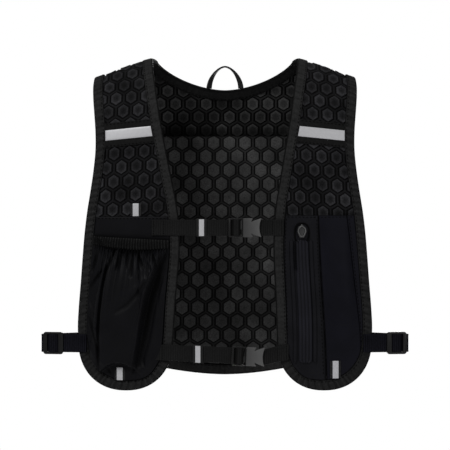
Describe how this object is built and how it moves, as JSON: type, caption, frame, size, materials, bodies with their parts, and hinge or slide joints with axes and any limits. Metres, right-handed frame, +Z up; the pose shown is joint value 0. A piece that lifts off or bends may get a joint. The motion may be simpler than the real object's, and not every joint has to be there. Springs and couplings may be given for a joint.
{
  "type": "running hydration vest",
  "caption": "Black running hydration vest in its worn shape, with hexagon mesh panels, a bottle pocket, a zipped pocket, buckled chest straps and adjustable side straps.",
  "frame": {"origin": "shoulder seat, under the middle of the shoulders on the wearer's centre plane, 10.4 mm below the ridge of the shoulders at the neck", "axes": "+Z up, -Y towards the front of the vest, +X towards the side with the zipped pocket"},
  "size_m": [0.463, 0.1798, 0.4193],
  "materials": {
    "mesh": "matt polyester spacer mesh with a hexagon relief",
    "binding": "matt",
    "pocket_cloth": "soft matt nylon stretch cloth",
    "zip_cloth": "soft matt nylon stretch cloth",
    "webbing": "matt woven polyester",
    "plastic": "satin",
    "reflective": "silver retroreflective tape"
  },
  "bodies": {
    "root": {"back_binding": "binding", "back_panel": "mesh", "bladder_sleeve": "mesh", "bottle_pocket": "pocket_cloth", "bottle_pocket_backing": "pocket_cloth", "chest_band_bottle_side": "webbing", "chest_band_zip_side": "webbing", "chest_strip_bottle_side": "reflective", "chest_strip_zip_side": "reflective", "front_binding_bottle_side": "binding", "front_binding_zip_side": "binding", "front_panel_bottle_side": "mesh", "front_panel_zip_side": "mesh", "hang_loop": "binding", "lower_buckle_ladder": "plastic", "lower_buckle_socket": "plastic", "lower_keeper": "webbing", "lower_keeper_strip": "reflective", "lower_strap_bottle_side": "webbing", "lower_strap_zip_side": "webbing", "neck_binding": "binding", "pocket_elastic": "pocket_cloth", "side_lock_bottle_side": "plastic", "side_lock_zip_side": "plastic", "side_strap_bottle_side": "webbing", "side_strap_zip_side": "webbing", "tab_bottle_bottom": "webbing", "tab_bottle_top": "webbing", "tab_strip_bottle_bottom": "reflective", "tab_strip_bottle_top": "reflective", "tab_strip_zip_bottom": "reflective", "tab_zip_bottom": "webbing", "upper_buckle_ladder": "plastic", "upper_buckle_socket": "plastic", "upper_keeper": "webbing", "upper_keeper_strip": "reflective", "upper_strap_bottle_side": "webbing", "upper_strap_zip_side": "webbing", "zip_placket": "pocket_cloth", "zip_pocket_front": "zip_cloth", "zip_pocket_gusset": "pocket_cloth", "zipper_pull": "plastic", "zipper_slider": "plastic", "zipper_tape": "zip_cloth"}
  },
  "joints": []
}
